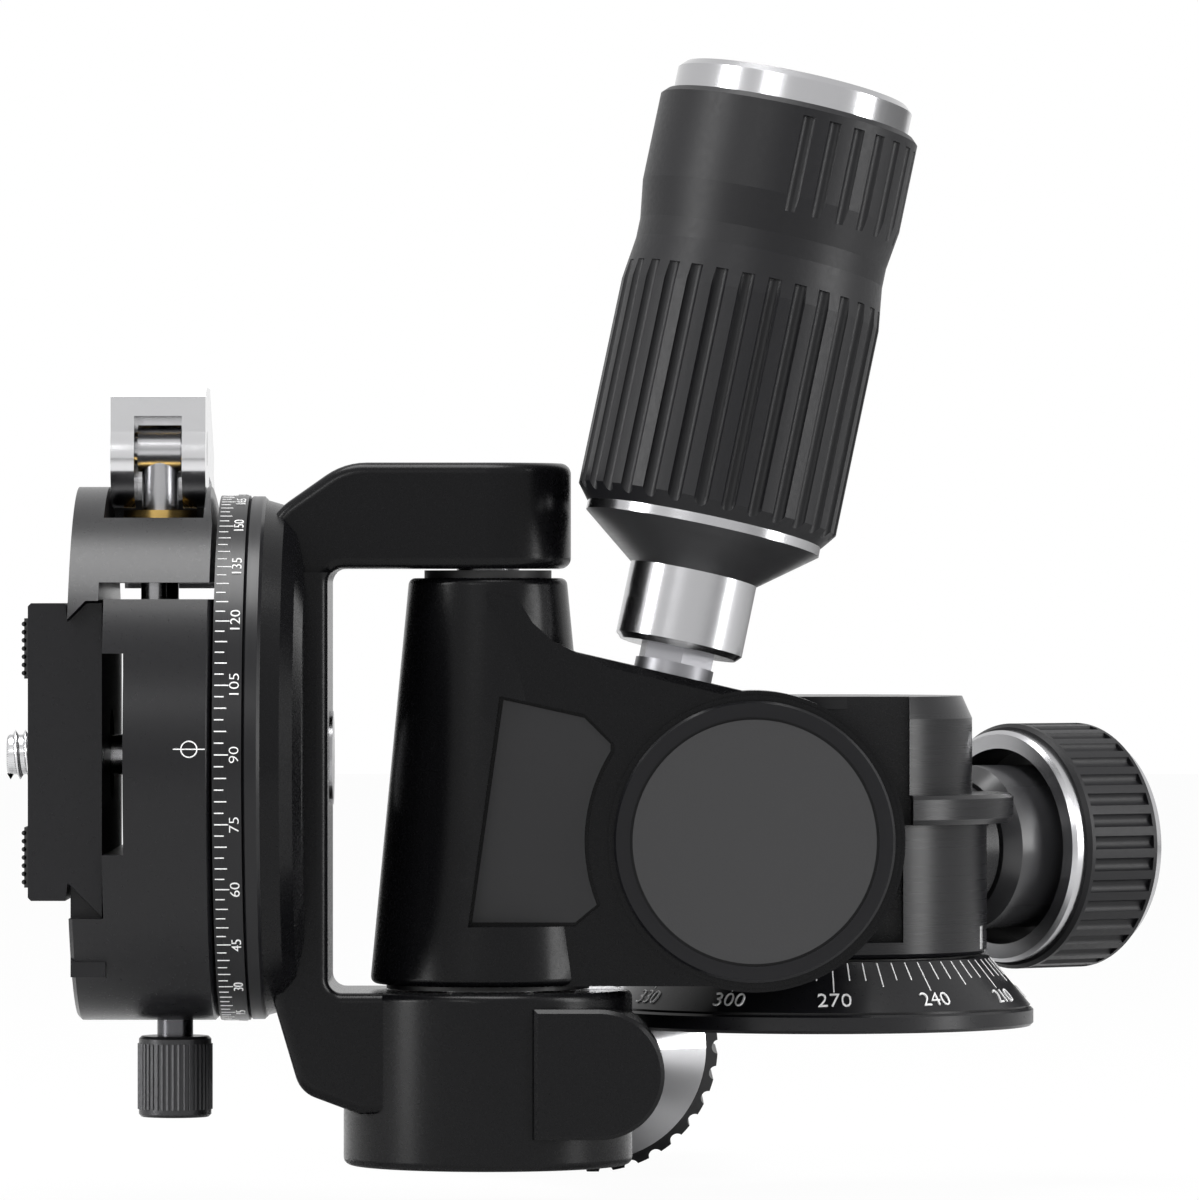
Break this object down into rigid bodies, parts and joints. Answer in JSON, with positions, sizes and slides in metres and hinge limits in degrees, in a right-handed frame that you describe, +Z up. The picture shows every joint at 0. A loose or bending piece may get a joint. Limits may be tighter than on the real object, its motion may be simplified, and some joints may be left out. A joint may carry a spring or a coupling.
{
  "type": "tripod head",
  "caption": "Four-way tripod head with pan base, fore-and-aft tilt, side tilt, turning quick-release clamp with cam lever, sliding plate and ribbed lock handles.",
  "frame": {"origin": "centre of the tripod socket's mouth, in the underside of the base", "axes": "+Z up, out of the tripod along the pan axis; +X to the viewer's right of the picture, away from the clamp; +Y away from the viewer, as the side lock handle points. Rest pose is the pictured one: tipped 90 degrees for upright pictures"},
  "size_m": [0.1504, 0.1494, 0.1461],
  "materials": {
    "black_aluminium": "black anodised, satin",
    "cast_black": "dark grey satin paint on cast metal",
    "bright_aluminium": "turned and brushed",
    "steel": "machined",
    "grip_rubber": "ribbed, satin",
    "pad_rubber": "finely ribbed, dull",
    "brass_part": "turned",
    "slide_plastic": "black, low friction",
    "cap_plate": "dark grey, fine grain"
  },
  "bodies": {
    "base": {"base_plate": "black_aluminium", "tripod_insert": "steel", "spindle": "steel", "base_screws": "steel", "glide_ring": "slide_plastic", "spindle_washer": "steel", "spindle_nut": "steel"},
    "pan_housing": {"pan_body": "black_aluminium", "pan_cover": "black_aluminium", "pan_brake_shoe": "brass_part", "trunnion_retainer": "steel", "retainer_screw": "steel"},
    "arm": {"tilt_arm": "cast_black", "nameplate": "cap_plate", "hub_cap": "cap_plate", "hub_cap_disc": "cap_plate", "side_tilt_pin": "steel", "upper_washer": "slide_plastic", "lower_washer": "slide_plastic"},
    "yoke_frame": {"yoke": "cast_black", "lock_sleeve": "steel", "yoke_bottom_cover": "slide_plastic", "mount_disc": "black_aluminium", "scale_ring": "black_aluminium", "clamp_axle": "steel", "axle_retainer": "steel", "axle_screw": "steel"},
    "clamp": {"clamp_body": "black_aluminium", "guide_pins": "steel", "drawbar": "steel", "lever_pivot_pin": "steel", "clamp_lock_rod": "brass_part"},
    "jaw": {"sliding_jaw": "black_aluminium", "cam_saddle": "brass_part"},
    "lever": {"cam_lever": "bright_aluminium"},
    "thumbscrew": {"thumbscrew_knob": "bright_aluminium", "thumbscrew_stud": "steel"},
    "release_plate": {"plate": "black_aluminium", "plate_strips": "pad_rubber", "plate_stop_screws": "steel"},
    "mounting_screw": {"camera_screw": "steel"},
    "tilt_lock": {"tilt_lock_core": "bright_aluminium", "tilt_lock_grip": "grip_rubber", "tilt_lock_cap": "bright_aluminium", "tilt_lock_stud": "steel"},
    "side_lock": {"side_lock_core": "bright_aluminium", "side_lock_grip": "grip_rubber", "side_lock_cap": "bright_aluminium", "side_lock_stud": "steel"},
    "pan_knob": {"pan_knob_core": "bright_aluminium", "pan_knob_grip": "grip_rubber", "pan_knob_cap": "bright_aluminium", "pan_knob_stud": "steel"}
  },
  "joints": [
    {"name": "base_pan", "type": "hinge", "parent": "base", "child": "pan_housing", "pos_m": [0, 0, 0.0094], "axis": [0, 0, 1], "continuous": true},
    {"name": "fore_aft_tilt", "type": "hinge", "parent": "pan_housing", "child": "arm", "pos_m": [-0.0088, -0.02845, 0.0248], "axis": [0, 1, 0], "range_deg": [0, 90]},
    {"name": "side_tilt", "type": "hinge", "parent": "arm", "child": "yoke_frame", "pos_m": [-0.0428, -0.024, 0.03], "axis": [0, 0, 1], "range_deg": [0, 25]},
    {"name": "clamp_turn", "type": "hinge", "parent": "yoke_frame", "child": "clamp", "pos_m": [-0.08, -0.024, 0.0353], "axis": [1, 0, 0], "continuous": true},
    {"name": "lever_swing", "type": "hinge", "parent": "clamp", "child": "lever", "pos_m": [-0.08485, -0.024, 0.0749], "axis": [1, 0, 0], "range_deg": [0, 90]},
    {"name": "jaw_slide", "type": "slide", "parent": "clamp", "child": "jaw", "axis": [0, 0, 1], "range_m": [0, 0.0013]},
    {"name": "thumbscrew_turn", "type": "hinge", "parent": "clamp", "child": "thumbscrew", "pos_m": [-0.0829, -0.024, -0.005], "axis": [0, 0, 1], "continuous": true},
    {"name": "plate_slide", "type": "slide", "parent": "clamp", "child": "release_plate", "axis": [0, 1, 0], "range_m": [-0.015, 0.015]},
    {"name": "camera_screw_turn", "type": "hinge", "parent": "release_plate", "child": "mounting_screw", "pos_m": [-0.098, -0.024, 0.0357], "axis": [-1, 0, 0], "continuous": true},
    {"name": "tilt_lock_turn", "type": "hinge", "parent": "arm", "child": "tilt_lock", "pos_m": [-0.01849, -0.0276, 0.04912], "axis": [0.2057, 0.0698, 0.9761], "continuous": true},
    {"name": "side_lock_turn", "type": "hinge", "parent": "yoke_frame", "child": "side_lock", "pos_m": [-0.0294, 0.0176, -0.0046], "axis": [0, 1, 0], "continuous": true},
    {"name": "pan_lock_turn", "type": "hinge", "parent": "pan_housing", "child": "pan_knob", "pos_m": [0.02452, 0.01929, 0.0228], "axis": [0.7859, 0.6184, 0], "continuous": true}
  ],
  "couplings": [
    {"joint": "jaw_slide", "follows": "lever_swing", "m_per_rad": 0.000764}
  ]
}
